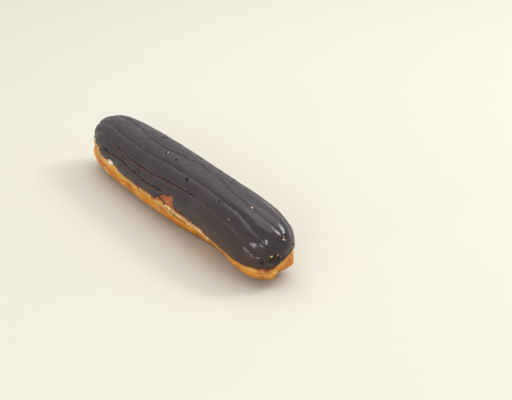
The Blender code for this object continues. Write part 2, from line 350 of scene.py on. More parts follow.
# Flakes: number, sizes and distances from the rim's line, its ends and the icing in millimetres, their
# length, thickness and raise as shares of their size, and how much they lean and turn in radians
FLAKES = 150
FLAKE_SIZES = (0.45, 1.2)
FLAKE_SPREAD = 0.6
FLAKE_MARGINS = (2.0, 4.0)
FLAKE_DROP = 0.2
FLAKE_LENGTHS = (1.0, 1.6)
FLAKE_THICKNESS = 0.35
FLAKE_RAISE = 0.25
FLAKE_TURN = 0.5

# Burnt spots of the choux in millimetres: place and reach
BURNT_SPOTS = (
    ((47.5, -15.0, 11.0), 1.0),
    ((-74.0, -9.5, 9.6), 1.0),
    ((-61.3, -14.0, 10.3), 0.7),
    ((-38.5, -15.2, 11.5), 0.7),
    ((-35.3, -15.3, 11.5), 0.6),
    ((-17.0, -15.3, 11.2), 0.9),
    ((-4.4, -15.2, 11.2), 0.9),
    ((30.0, 16.0, 10.0), 0.8),
    ((-22.0, 16.0, 9.0), 0.9),
)

# All burnt spots: outline as its usual size, its change and the size of its rags, and darkness and
# reach of the dark middle
BURNT_OUTLINE = (1.0, 0.5, 0.0009)
BURNT_STRENGTH = 0.85
BURNT_CORE = 0.3

# Baked relief of the choux: size and height of its wrinkles and of the lumps at the +X tip, from where
# along X and in what length the lumps grow in millimetres, and the height that the material takes as 1
CRUST_RELIEF = ((0.0080, 0.00024), ((0.0034, 0.0013, 0.0013), 0.00015), (0.0007, 0.00007))
TIP_LUMPS = (0.0018, 0.00030)
TIP_LUMPS_ALONG = (72.0, 5.0)
CRUST_RELIEF_SCALE = 0.00025

# How much smoother the underside is and up to what height, how far the choux is sunk under the icing,
# and in what length and from what share of it outside the edge
UNDERSIDE_SMOOTHING = 0.7
UNDERSIDE_REACH = 0.0012
SUNK_CRUST = 0.0004
SUNK_RUN = 0.0006
SUNK_START = 0.2

# Mesh fineness
PROFILE_SAMPLES = 4001
TIP_SPACING = 0.00013
BODY_SPACING = 0.00039
TIP_ZONE = 0.0050
EDGE_MARGIN = math.radians(5.0)
NARROWEST_RIDGE = math.radians(2.4)
ICING_PANELS = (6, 14, 18, 20, 24, 26, 26, 24, 18, 6)
PANEL_CLUSTER = 0.45
ICING_TIP_GAPS = (0.0012, 0.0008)
INNER_COLUMNS = 7
INNER_DEPTH = -0.0013
CRUST_TIP_GAP = 0.0002
CRUST_TOP_COLUMNS = 12
CRUST_SIDE_COLUMNS = 46
CRUST_BASE_COLUMNS = 26
BASE_ANGLE = math.radians(-66.8)
CREAM_FINENESS = 5
CRUMB_FINENESS = 3
FLAKE_FINENESS = 2
DUST_FINENESS = 1

# Random lattice of the smooth noise, and the factor that brings it to between about -1 and 1
NOISE_PERIOD = 32
NOISE_GAIN = 1.6

# Colours
ICING_DARK = (0.020, 0.0115, 0.0130)
ICING_LIGHT = (0.031, 0.0200, 0.0222)
ICING_RED = (0.130, 0.036, 0.022)
ICING_PAINTED_REFLECTION = (0.052, 0.021, 0.008)
ICING_EDGE = (0.050, 0.014, 0.009)
ICING_HOLLOW_SHADE = (0.006, 0.003, 0.003)
CRUST_GOLD = (0.68, 0.285, 0.011)
CRUST_AMBER = (0.49, 0.145, 0.009)
CRUST_PALE_AND_HIGHLIGHT = (0.62, 0.435, 0.150)
CRUST_TOAST_AND_SHADE = (0.26, 0.068, 0.009)
CRUST_BURNT_AND_SHADE = (0.10, 0.022, 0.006)
CRUST_FLAKE = (0.70, 0.480, 0.190)
CRUST_RED = (0.29, 0.056, 0.016)
CREAM_LIGHT = (0.70, 0.68, 0.64)
CREAM_SHADE = (0.56, 0.53, 0.47)
CRUMB_PALE = (0.88, 0.80, 0.66)
CRUMB_GOLD = (0.78, 0.46, 0.12)
CRUMB_RED = (0.30, 0.09, 0.05)
FLAKE_PALE = (0.80, 0.63, 0.34)
FLAKE_GOLD = (0.66, 0.40, 0.14)
FLAKE_BROWN = (0.52, 0.24, 0.08)
FLOOR_COLOUR = (0.60, 0.555, 0.455)
FLOOR_HALF = 4.0

# Light from all round, and the soft light overhead and the ones that show as gloss on the near end:
# place and side in metres, and power in watts
SURROUNDINGS_COLOUR = (0.93, 0.95, 1.0)
SURROUNDINGS_STRENGTH = 0.80
OVERHEAD = ((-0.15, 0.20, 0.90), 1.10, 5.5)
WINDOWS = (
    ((0.26, 0.74, 0.70), 0.26, 3.8),
    ((0.06, 0.67, 0.81), 0.22, 0.9),
    ((0.66, -0.70, 0.38), 0.24, 2.8),
    ((0.20, -1.00, 0.13), 0.18, 2.0),
)
WINDOW_COLOUR = (0.86, 0.93, 1.0)

# Camera: where it stands, which way it looks, its roll in degrees and its lens in millimetres
CAMERA_PLACE = (0.39274, -0.22717, 0.22412)
CAMERA_AIM = (-0.74510, 0.50955, -0.43033)
CAMERA_ROLL = 0.85
CAMERA_LENS = 74.35


def smooth_step(value):
    """Rise smoothly from 0 to 1 as the value does."""
    value = np.clip(value, 0.0, 1.0)
    return value * value * (3.0 - 2.0 * value)


def bell(x, centre, spread):
    """A smooth bump of height 1 at the centre."""
    return np.exp(-(((x - centre) / spread) ** 2))


def wave(x, crest, wavelength):
    """A cosine along X with a crest at the given place."""
    return np.cos(2.0 * math.pi * (x - crest) / wavelength)


def fullness(u, bluntness, squareness):
    """Share of the full size that is left at u: 1 along the body and 0 at the tips."""
    return np.clip(1.0 - np.abs(u) ** bluntness, 0.0, 1.0) ** (1.0 / squareness)


def position_along(u):
    """X of the bare choux at u."""
    return u * (LENGTH / 2.0 - ICING)


def axis_height(u):
    """Height of the widest line at u."""
    return AXIS_HEIGHT + (TIP_HEIGHT - AXIS_HEIGHT) * np.abs(u) ** PLAN_TIP[0]


def wander(x, seed, wavelengths):
    """An irregular wave along X between about -1 and 1."""
    rng = np.random.default_rng(seed)
    phases = rng.uniform(0.0, 2.0 * math.pi, len(wavelengths))
    parts = [np.sin(2.0 * math.pi * x / size + phase) for size, phase in zip(wavelengths, phases)]
    return sum(parts) / math.sqrt(len(parts))


def lattice_noise(points, cell, seed):
    """Smooth noise between about -1 and 1 at each point, with features of the cell's size."""
    rng = np.random.default_rng(seed)
    gradients = rng.normal(size=(NOISE_PERIOD, NOISE_PERIOD, NOISE_PERIOD, 3))
    gradients /= np.linalg.norm(gradients, axis=-1, keepdims=True)
    place = points / np.asarray(cell)
    low = np.floor(place).astype(int)
    offset = place - low
    fade = offset**3 * (offset * (offset * 6.0 - 15.0) + 10.0)
    total = np.zeros(points.shape[:-1])
    for corner in itertools.product((0, 1), repeat=3):
        index = (low + corner) % NOISE_PERIOD
        pull = gradients[index[..., 0], index[..., 1], index[..., 2]]
        weight = np.prod(np.where(corner, fade, 1.0 - fade), axis=-1)
        total += weight * np.sum(pull * (offset - corner), axis=-1)
    return NOISE_GAIN * total


def varied(points, variation, seed):
    """A number that varies over the points, from its usual value, its change and its patches' size."""
    usual, change, size = variation
    return usual + change * lattice_noise(points, size, seed)


def layered_noise(points, layers, seed):
    """Sum of several noises, each given as its cell's size and its height."""
    return sum(
        height * lattice_noise(points, cell, seed + step)
        for step, (cell, height) in enumerate(layers)
    )


def furrow_angles(u):
    """Angle of each furrow at u, one row for each furrow."""
    x = position_along(u)
    rows = [
        angle + sway * wave(x, crest, length) + FURROW_WANDER * wander(x, number, WANDER_LENGTHS)
        for number, (angle, sway, crest, length, _) in enumerate(FURROWS)
    ]
    from_top = np.stack(rows) / 90.0 - 1.0
    fan = FAN_SHARE * smooth_step((np.abs(x) - FAN_START) / (LENGTH / 2.0 - FAN_START))
    from_top += fan * from_top * np.maximum(0.0, 1.0 - from_top**2)
    return math.pi / 2.0 * (1.0 + from_top)


def furrow_strengths(u):
    """Depth of each furrow at u as a share of the deepest, one row for each furrow."""
    x = position_along(u)
    rows = [np.clip((end - x) / FURROW_FADE + 0.5, 0.0, 1.0) for *_, end in FURROWS]
    return np.stack(rows)


def furrow_depth(u, angle):
    """How deep the surface lies below the ridge tops, from 0 on a ridge to 1 in a furrow."""
    furrows = furrow_angles(u)
    strengths = furrow_strengths(u)
    depth = np.zeros(angle.shape)
    for low in range(len(FURROWS) - 1):
        share = (angle - furrows[low]) / (furrows[low + 1] - furrows[low])
        strength = np.where(share < 0.5, strengths[low], strengths[low + 1])
        ridge = strength * np.abs(2.0 * share - 1.0) ** RIDGE_FLATNESS
        depth = np.where((share >= 0.0) & (share <= 1.0), ridge, depth)
    past = np.maximum(furrows[0] - angle, angle - furrows[-1])
    fading = np.clip(1.0 - past / OUTER_FURROW_FADE, 0.0, 1.0) ** RIDGE_FLATNESS
    depth += np.where(past > 0.0, fading, 0.0)
    return depth * np.minimum(1.0, 2.2 * fullness(u, *PLAN_TIP))


def underside_lift(x, y):
    """How far the underside has lifted near the +X tip."""
    along = smooth_step((x - LIFT_ALONG[0]) / LIFT_ALONG[1])
    return LIFT_HEIGHT * along * smooth_step((y - LIFT_ACROSS[0]) / LIFT_ACROSS[1])


def swell(x, share, crest, wavelength):
    """Slow change of a size along X, as a factor near 1."""
    return 1.0 + share * wave(x, crest, wavelength)


def flare(x, across, up):
    """How far the lower half stands out from the upper one at X, growing from the widest line down."""
    size, start, end = FLARE
    out = size * smooth_step((x - start) / (end - start)) - TUCK[0] * bell(x, *TUCK[1:])
    share = BACK_SHARE + (1.0 - BACK_SHARE) * smooth_step(0.5 - across)
    return out * share * smooth_step(-up / FLARE_BLEND)


def surface(u, angle, grow=0.0, furrow=CHOUX_FURROW):
    """Points of the choux surface, or of one that lies outside it by grow, as an array of x, y, z."""
    u, angle, grow = np.broadcast_arrays(u, angle, grow)
    across, up = np.cos(angle), np.sin(angle)
    left = fullness(u, *PLAN_TIP)
    x = u * (LENGTH / 2.0 - ICING + grow)
    axis = axis_height(u)
    out = flare(x, across, up)
    half_width = ((WIDTH / 2.0 - ICING + grow) * swell(x, *SIDE_SWELL) + out) * left
    rise = (HEIGHT - axis - ICING + grow) * swell(x, *TOP_SWELL) * fullness(u, *TOP_TIP)
    drop = BASE_FLATTENING * axis * fullness(u, *BASE_TIP) + grow
    x = x + u * out * np.minimum(1.0, 3.0 * left)

    squareness = np.where(up >= 0.0, TOP_SQUARENESS, BASE_SQUARENESS)
    side = np.sign(across) * np.abs(across) ** (2.0 / squareness)
    lift = np.abs(up) ** (2.0 / squareness)
    dent = furrow * furrow_depth(u, angle)
    y = half_width * side - dent * across
    z = axis + np.where(up >= 0.0, rise, -drop) * lift - dent * up
    z = np.where(up < 0.0, np.maximum(z, underside_lift(x, y)), z)
    z = np.where(z < FLAT_REACH, 0.0, z)
    return np.stack([x, y, z], axis=-1)


def normals_of(grid):
    """Outward normals of a grid of points, whose rows run along +X and whose columns turn from +Y up."""
    along = np.gradient(grid, axis=0)
    around = np.gradient(grid, axis=1)
    normals = np.cross(around, along)
    return normals / np.maximum(np.linalg.norm(normals, axis=-1, keepdims=True), 1e-12)


def row_places(start_gap, end_gap):
    """Values of u for the mesh rows, evenly spaced along the plan outline and closer near the tips."""
    u = np.sin(np.linspace(-math.pi / 2.0, math.pi / 2.0, PROFILE_SAMPLES))
    outline = np.stack([position_along(u), fullness(u, *PLAN_TIP) * WIDTH / 2.0])
    arc = np.concatenate([[0.0], np.cumsum(np.hypot(*np.diff(outline)))])
    places = [start_gap]
    while places[-1] < arc[-1] - end_gap:
        from_tip = min(places[-1], arc[-1] - places[-1])
        share = float(smooth_step((from_tip - TIP_ZONE) / TIP_ZONE))
        places.append(places[-1] + TIP_SPACING + (BODY_SPACING - TIP_SPACING) * share)
    return np.interp(places[:-1], arc, u)


def stepped(x, start, steps):
    """A height along X, in metres, that starts level and then takes each step in turn."""
    height = np.full(x.shape, start)
    for place, change, run in steps:
        height += change * smooth_step((x / MM - place) / run + 0.5)
    return height * MM


def edge_height(points):
    """Height at which the icing ends, on the side and at the place along X of each point."""
    x, y = points[..., 0], points[..., 1]
    to_back = smooth_step(y / EDGE_ROUND_TIP + 0.5)
    front = stepped(x, FRONT_EDGE_START, FRONT_EDGE_STEPS)
    back = stepped(x, BACK_EDGE_START, BACK_EDGE_STEPS)
    return front + (back - front) * to_back + layered_noise(points, EDGE_NOISE, seed=40)


def edge_angles(u):
    """Angles at which the icing ends on the +Y side and on the -Y side."""
    angle = np.radians(np.linspace(-30.0, 86.0, 117))
    lows, highs = [], []
    for mirror, found in ((False, lows), (True, highs)):
        turned = math.pi - angle if mirror else angle
        points = surface(u[:, None], turned[None, :], 0.0, 0.0)
        above = points[..., 2] - edge_height(points)
        crossing = np.argmax(above > 0.0, axis=1)
        crossing = np.where((above > 0.0).any(axis=1), crossing, len(turned) - 1)
        found.append(turned[crossing])
    return lows[0], highs[0]


def icing_angles(u):
    """Angles of the mesh columns over the iced top at each u, from under the +Y edge to under the -Y one."""
    low, high = edge_angles(u)
    guides = np.vstack([low - EDGE_MARGIN, low, furrow_angles(u)[1:-1], high, high + EDGE_MARGIN])
    order = np.arange(len(guides))[:, None] * NARROWEST_RIDGE
    guides = np.clip(guides, guides[0] + order, guides[-1] - order[::-1])
    columns = []
    for panel, count in enumerate(ICING_PANELS):
        share = np.arange(count) / count
        share -= PANEL_CLUSTER * np.sin(2.0 * math.pi * share) / (2.0 * math.pi)
        columns += [guides[panel] + (guides[panel + 1] - guides[panel]) * part for part in share]
    return np.stack(columns + [guides[-1]], axis=1)


def rim_share(depth_in):
    """Share of the icing's full thickness at a distance in from its edge, below 0 outside the edge."""
    inside = np.clip(depth_in / RIM_RADIUS, 0.0, 1.0)
    rounded = RIM_SHARE * np.sqrt(1.0 - (1.0 - inside) ** 2)
    return rounded + (1.0 - RIM_SHARE) * smooth_step(depth_in / RIM_RUN)


def crack_relief(u, angles, points):
    """Height change at the cracks, in metres, and the strength of their line of painted shade and of their
    red line.
    """
    x = position_along(u)
    furrows, strengths = furrow_angles(u), furrow_strengths(u)
    usual, varying, least = CRACK_SHARES
    radius = np.hypot(points[..., 1], points[..., 2] - axis_height(u)[:, None])
    relief, dark, red = np.zeros(angles.shape), np.zeros(angles.shape), np.zeros(angles.shape)
    for number, (depth, half_width, step, shade_line, red_line, start, end) in enumerate(CRACKS, start=1):
        half_width *= MM
        bends = CRACK_BENDS[0] * wander(x, 160 + number, CRACK_BENDS[1:])[:, None]
        across = (angles - furrows[number][:, None]) * radius - bends
        below = across * math.copysign(1.0, step)
        opened = smooth_step((x / MM - start) / CRACK_FADE + 0.5)
        opened *= smooth_step((end - x / MM) / CRACK_FADE + 0.5)
        opened = CLOSED_CRACK + (1.0 - CLOSED_CRACK) * opened
        uneven = np.clip(usual + varying * wander(x, 60 + number, CRACK_LENGTHS), least, 1.0)
        power = (strengths[number] * opened * uneven)[:, None]
        relief -= power * depth * MM * np.exp(-((np.abs(across) / half_width) ** CRACK_STEEPNESS))
        ledge = smooth_step(below / half_width) * np.exp(-np.maximum(below, 0.0) / STEP_FADE)
        relief -= (strengths[number] * opened)[:, None] * abs(step) * MM * ledge
        # Line of painted shade along the crack, and the red line beside it
        shade_share = bell(across, 0.0, SHADE_LINE_SPREAD * half_width)
        red_share = bell(below, RED_FLANK * half_width, RED_SPREAD * half_width)
        dark = np.maximum(dark, shade_line * power * shade_share)
        red = np.maximum(red, red_line * power * red_share)
    return relief, dark, red


def mark_relief(points):
    """Height change of the icing's pits and bumps, in metres, and how much painted shade each point gets in
    a pit.
    """
    rim_height, rim_place, rim_spread = MARK_RIM
    by_depth, by_reach = MARK_PAINTED_SHADE
    outline = varied(points, MARK_OUTLINE, seed=80)
    relief, dark = np.zeros(points.shape[:-1]), np.zeros(points.shape[:-1])
    for place, reach, depth in ICING_MARKS:
        centre = points.reshape(-1, 3)[nearest(points, place)]
        away = np.linalg.norm((points - centre) / (np.array(reach) * MM), axis=-1) * outline
        bowl = (1.0 - smooth_step(away / BOWL_REACH)) ** BOWL_ROUNDNESS
        relief -= depth * MM * bowl
        if depth > 0.0:
            relief += rim_height * depth * MM * bell(away, rim_place, rim_spread)
            # Painted shade in the pit, stronger for a deeper pit and weaker for a wide one
            dark = np.maximum(dark, min(1.0, by_depth * depth) * bowl / max(1.0, by_reach * max(reach)))
    return relief, dark


def nearest(points, place):
    """Number of the point that lies nearest to a place in millimetres."""
    gaps = points.reshape(-1, 3) - np.array(place) * MM
    return int(np.argmin(np.einsum("ij,ij->i", gaps, gaps)))


def icing_unevenness(points, near_end):
    """Slow height change of the icing, in metres: stronger near the +X end and weak at its very tip."""
    off_tip = smooth_step((CRINKLE_END - points[..., 0]) / CRINKLE_FADE + 0.5)
    strength = (1.0 + CRINKLE * near_end * off_tip) * (TIP_UNEVENNESS + (1.0 - TIP_UNEVENNESS) * off_tip)
    return strength * layered_noise(points, ICING_UNEVENNESS, seed=70)


def torn_edge(points):
    """How torn the icing is at each point, from 0 to 1, and the height of its rags from about -1 to 1."""
    torn = smooth_step((points[..., 0] / MM - TORN_ALONG[0]) / TORN_ALONG[1])
    torn *= smooth_step((TORN_BELOW[0] - points[..., 2] / MM) / TORN_BELOW[1])
    return torn, lattice_noise(points, TEAR_SIZE, seed=77)


def icing_relief(u, angles, points, near_end):
    """Height change of the icing, in metres, how red each point is, and how much painted shade it gets."""
    relief, shade_line, red = crack_relief(u, angles, points)
    relief += icing_unevenness(points, near_end)
    marks, dark = mark_relief(points)
    torn, tear = torn_edge(points)
    relief += marks + TORN_HEIGHT * torn * (tear - 1.0)
    red = np.maximum(red, 0.8 * torn * smooth_step(tear / 0.5))
    return relief, red, np.maximum(dark, shade_line)


def painted_reflection_share(points, depth_in):
    """Share of the painted warm reflection of the floor low on the front of the icing, from 0 to 1."""
    low_front = smooth_step((-points[..., 1] / MM - REFLECTION_ACROSS[0]) / REFLECTION_ACROSS[1])
    low_front *= smooth_step((points[..., 0] / MM - REFLECTION_ALONG[0]) / REFLECTION_ALONG[1])
    return low_front * np.exp(-np.maximum(depth_in, 0.0) / (REFLECTION_REACH * MM))


def build_icing():
    """Outer skin, buried margin and inner skin of the icing, with attributes for its material."""
    u = row_places(*ICING_TIP_GAPS)
    angles = icing_angles(u)
    near_end = smooth_step((position_along(u)[:, None] - NEAR_END[0]) / (NEAR_END[1] - NEAR_END[0]))
    base = surface(u[:, None], angles, 0.0, COAT_FURROW + (CHOUX_FURROW - COAT_FURROW) * near_end)
    normals = normals_of(base)
    depth_in = base[..., 2] - edge_height(base)
    relief, red, dark = icing_relief(u, angles, base, near_end)
    full = rim_share(depth_in) * (NORMAL_ICING + relief)
    thickness = np.where(depth_in > 0.0, full, np.maximum(depth_in, SUNK_ICING))
    outer = base + normals * thickness[..., None]
    inner_share = np.linspace(0.0, 1.0, INNER_COLUMNS)
    inner_angles = angles[:, :1] + (angles[:, -1:] - angles[:, :1]) * inner_share
    inner = surface(u[:, None], inner_angles, INNER_DEPTH, CHOUX_FURROW)
    piece = shell_object("icing_coat", outer, inner)
    # Share of the painted warm reflection of the floor, low on the front
    store(piece, "painted_reflection", painted_reflection_share(base, depth_in), 0.0)
    store(piece, "red_line", red, 0.0)
    # Painted shade in the pits and along the cracks
    store(piece, "painted_hollow_shade", dark, 0.0)
    store(piece, "edge", np.exp(-np.maximum(depth_in, 0.0) / MM), 1.0)
    return piece, outer, normals, depth_in


def grid_faces(rows, columns, first, flip=False, wrapped=False):
    """Quads over a grid of points that are numbered row by row from first."""
    row = np.arange(rows - 1)[:, None] * columns + first
    column = np.arange(columns if wrapped else columns - 1)[None, :]
    beside = (column + 1) % columns
    quads = np.stack([row + column, row + beside, row + columns + beside, row + columns + column], axis=-1)
    quads = quads.reshape(-1, 4)
    return (quads[:, ::-1] if flip else quads).tolist()


def strip_faces(left, right):
    """Quads between two equally long lists of point numbers."""
    return [(a, b, d, c) for a, b, c, d in zip(left, left[1:], right, right[1:])]


def mesh_object(name, points, faces):
    """An object from points and faces, shaded smooth."""
    mesh = bpy.data.meshes.new(name)
    mesh.from_pydata(np.asarray(points).tolist(), [], faces)
    mesh.validate()
    mesh.shade_smooth()
    made = bpy.data.objects.new(name, mesh)
    bpy.context.scene.collection.objects.link(made)
    return made


def shell_object(name, outer, inner):
    """A closed shell from an outer and an inner grid with the same rows."""
    rows, columns = outer.shape[:2]
    inner_columns = inner.shape[1]
    first_inner = rows * columns
    faces = grid_faces(rows, columns, 0) + grid_faces(rows, inner_columns, first_inner, flip=True)
    outer_number = np.arange(rows * columns).reshape(rows, columns)
    inner_number = first_inner + np.arange(rows * inner_columns).reshape(rows, inner_columns)
    faces += strip_faces(inner_number[:, 0].tolist(), outer_number[:, 0].tolist())
    faces += strip_faces(outer_number[:, -1].tolist(), inner_number[:, -1].tolist())
    points = np.vstack([outer.reshape(-1, 3), inner.reshape(-1, 3)])
    for row, flip in ((0, False), (-1, True)):
        loop = outer_number[row].tolist() + inner_number[row, ::-1].tolist()
        centre = len(points)
        points = np.vstack([points, points[loop].mean(axis=0)])
        for here, after in zip(loop, loop[1:] + loop[:1]):
            faces.append((centre, here, after) if flip else (centre, after, here))
    return mesh_object(name, points, faces)


def store(piece, name, values, rest):
    """Keep one number for each vertex, for the material to read. The rest is for the last vertices."""
    attribute = piece.data.attributes.new(name, "FLOAT", "POINT")
    numbers = np.full(len(piece.data.vertices), rest, np.float32)
    numbers[: values.size] = values.ravel()
    attribute.data.foreach_set("value", numbers)


def crust_angles(u):
    """Angles of the mesh columns all round the choux at each u."""
    low, high = edge_angles(u)
    low, high = low + EDGE_MARGIN, high - EDGE_MARGIN
    middle = (low + high) / 2.0
    low, high = np.minimum(low, middle - 0.02), np.maximum(high, middle + 0.02)
    base_high = np.full(u.shape, math.pi - BASE_ANGLE)
    base_low = np.full(u.shape, 2.0 * math.pi + BASE_ANGLE)
    guides = np.stack([low, high, base_high, base_low, low + 2.0 * math.pi])
    columns = []
    counts = (CRUST_TOP_COLUMNS, CRUST_SIDE_COLUMNS, CRUST_BASE_COLUMNS, CRUST_SIDE_COLUMNS)
    for panel, count in enumerate(counts):
        columns += [
            guides[panel] + (guides[panel + 1] - guides[panel]) * step / count for step in range(count)
        ]
    return np.stack(columns, axis=1)


def between(x, ends, fade):
    """1 between two places and 0 outside, with a soft change at both."""
    return smooth_step((x - ends[0]) / fade + 0.5) * smooth_step((ends[1] - x) / fade + 0.5)


def rim_relief(points, below):
    """The flaky rim and the grooves of the choux under the icing, in metres, and its red film from 0
    to 1, from how far below the icing's edge each point lies in millimetres. The grooves' depth also sets
    their painted shade."""
    x, y, z = np.moveaxis(points / MM, -1, 0)
    front = smooth_step(-y / FRONT_FADE)
    ragged = np.clip(varied(points, RIM_RAGS, seed=110), 0.0, 1.0)
    rim = RIM_HEIGHT * MM * ragged * front * between(x, RIM_ENDS, RIM_FADE)
    rim *= bell(z, np.interp(x, *zip(*RIM_LINE)), RIM_SPREAD)
    groove_and_painted_shade = np.zeros(x.shape)
    for half_width, line in GROOVES:
        along = between(x, (line[0][0], line[-1][0]), GROOVE_FADE)
        groove_and_painted_shade = np.maximum(groove_and_painted_shade, along * bell(z, np.interp(x, *zip(*line)), half_width))
    groove_and_painted_shade *= np.clip(varied(points, GROOVE_SPLITS, seed=111), 0.0, 1.0) * front
    film = np.interp(x, *zip(*FILM_DEPTHS)) * varied(points, FILM_RAGS, seed=112)
    mottled = np.clip(varied(points, FILM_MOTTLING, seed=113), 0.0, 1.0)
    red = front * mottled * smooth_step((film - below) / FILM_FADE + 0.5)
    return rim, groove_and_painted_shade * GROOVE_DEPTH * MM, red


def burnt_share(points):
    """How burnt the choux is at each point, from 0 to 1."""
    burnt = np.zeros(points.shape[:-1])
    outline = varied(points, BURNT_OUTLINE, seed=114)
    for place, reach in BURNT_SPOTS:
        centre = points.reshape(-1, 3)[nearest(points, place)]
        away = np.linalg.norm(points - centre, axis=-1) / (reach * MM)
        spot = 1.0 - smooth_step(away * outline - BURNT_CORE)
        burnt = np.maximum(burnt, BURNT_STRENGTH * spot)
    return burnt


def crust_wrinkles(points):
    """Baked wrinkles of the choux, in metres, with lumps at its +X tip."""
    at_tip = smooth_step((points[..., 0] / MM - TIP_LUMPS_ALONG[0]) / TIP_LUMPS_ALONG[1])
    lumps = TIP_LUMPS[1] * at_tip * lattice_noise(points, TIP_LUMPS[0], seed=94)
    return layered_noise(points, CRUST_RELIEF, seed=90) + lumps


def crust_faces(rows, columns):
    """Faces of the choux: quads between its rings, and a fan at each tip, whose points come last."""
    faces = grid_faces(rows, columns, 0, wrapped=True)
    start_tip, end_tip = rows * columns, rows * columns + 1
    last_ring = (rows - 1) * columns
    for column in range(columns):
        beside = (column + 1) % columns
        faces.append((start_tip, beside, column))
        faces.append((end_tip, last_ring + column, last_ring + beside))
    return faces


def build_crust():
    """The baked choux finger, whole under the icing too, with its baked relief."""
    u = row_places(CRUST_TIP_GAP, CRUST_TIP_GAP)
    angles = crust_angles(u)
    base = surface(u[:, None], angles)
    wrapped = np.concatenate([base[:, -1:], base, base[:, :1]], axis=1)
    normals = normals_of(wrapped)[:, 1:-1]
    depth_in = base[..., 2] - edge_height(base)
    wrinkles = crust_wrinkles(base)
    rim, groove_and_painted_shade, red = rim_relief(base, -depth_in / MM)
    under = smooth_step(1.0 - base[..., 2] / UNDERSIDE_REACH)
    relief = wrinkles * (1.0 - UNDERSIDE_SMOOTHING * under) + rim - groove_and_painted_shade
    sunk = smooth_step(depth_in / SUNK_RUN + SUNK_START)
    relief = relief * (1.0 - sunk) - SUNK_CRUST * sunk
    crust = base + normals * relief[..., None]
    crust[..., 2] = np.maximum(crust[..., 2], 0.0)
    tips = np.array([surface(np.array([sign]), np.zeros(1))[0] for sign in (-1.0, 1.0)])
    points = np.vstack([crust.reshape(-1, 3), tips])
    piece = mesh_object("crust", points, crust_faces(*angles.shape))
    store(piece, "wrinkles", wrinkles / CRUST_RELIEF_SCALE, 0.0)
    store(piece, "below_icing", -depth_in / MM, 5.0)
    store(piece, "pale_rim", rim / (RIM_HEIGHT * MM), 0.0)
    store(piece, "red_film", red, 0.0)
    # Depth of the grooves, which also sets their painted shade
    store(piece, "groove_and_painted_shade", groove_and_painted_shade / (GROOVE_DEPTH * MM), 0.0)
    store(piece, "burnt", burnt_share(base), 0.0)
    return piece, crust, normals, -depth_in / MM


def ball(fineness):
    """Points and faces of a ball of radius 1."""
    shape = bmesh.new()
    bmesh.ops.create_icosphere(shape, subdivisions=fineness, radius=1.0)
    points = np.array([vertex.co for vertex in shape.verts])
    faces = [[vertex.index for vertex in face.verts] for face in shape.faces]
    shape.free()
    return points, faces


def lump(place, turn, sizes, seed, fineness):
    """Points and faces of one irregular crumb, with half sizes in metres."""
    points, faces = ball(fineness)
    bumps = varied(points + LUMP_STEP * seed, LUMP_BUMPS, seed=130)
    points = points * bumps[:, None] * np.array(sizes)
    return points @ np.array(turn).T + np.array(place), faces


def join_lumps(name, lumps):
    """One object from (points, faces, tone) of many crumbs, with their tones kept for the material."""
    points, faces, tones = [], [], []
    for lump_points, lump_faces, tone in lumps:
        first = len(tones)
        points.append(lump_points)
        faces += [[first + number for number in face] for face in lump_faces]
        tones += [tone] * len(lump_points)
    piece = mesh_object(name, np.vstack(points), faces)
    store(piece, "tone", np.array(tones), 0.0)
    return piece


def turn_to(normal, spin):
    """A rotation that takes +Z to the normal, after a spin about +Z."""
    lean = Vector((0.0, 0.0, 1.0)).rotation_difference(Vector(normal)).to_matrix()
    return lean @ Matrix.Rotation(spin, 3, "Z")


def resting_lump(skin, spot, size, raised, rng, seed, fineness):
    """A crumb at a vertex of a skin, given as points and normals, raised by a share of its half height."""
    points, normals = skin
    sizes = np.array(CRUMB_SQUASH) * size * MM * 0.5
    turn = turn_to(normals[spot], rng.uniform(0.0, math.tau))
    return lump(points[spot] + normals[spot] * sizes[2] * raised, turn, sizes, seed, fineness)


def build_crumbs(outer, normals, depth_in):
    """Crumbs and dust that lie on the icing."""
    rng = np.random.default_rng(21)
    skin = outer.reshape(-1, 3), normals.reshape(-1, 3)
    lumps = []
    for seed, (place, size, tone) in enumerate(ICING_CRUMBS):
        spot = nearest(outer, place)
        crumb = resting_lump(skin, spot, size, CRUMB_RAISE, rng, seed, CRUMB_FINENESS)
        lumps.append((*crumb, tone))
    open_icing = np.flatnonzero(depth_in.ravel() > DUST_MARGIN * MM)
    for seed, spot in enumerate(rng.choice(open_icing, DUST, replace=False), start=100):
        size = rng.uniform(*DUST_SIZES)
        grain = resting_lump(skin, spot, size, DUST_RAISE, rng, seed, DUST_FINENESS)
        lumps.append((*grain, rng.uniform(*DUST_TONES)))
    return join_lumps("crumbs", lumps)


def build_bits(outer, normals):
    """Ragged bits of icing that stick to its edge."""
    rng = np.random.default_rng(23)
    skin = outer.reshape(-1, 3), normals.reshape(-1, 3)
    lumps = []
    for seed, (place, size) in enumerate(ICING_BITS, start=500):
        bit = resting_lump(skin, nearest(outer, place), size, 0.0, rng, seed, CRUMB_FINENESS)
        lumps.append((*bit, 0.0))
    return join_lumps("icing_bits", lumps)


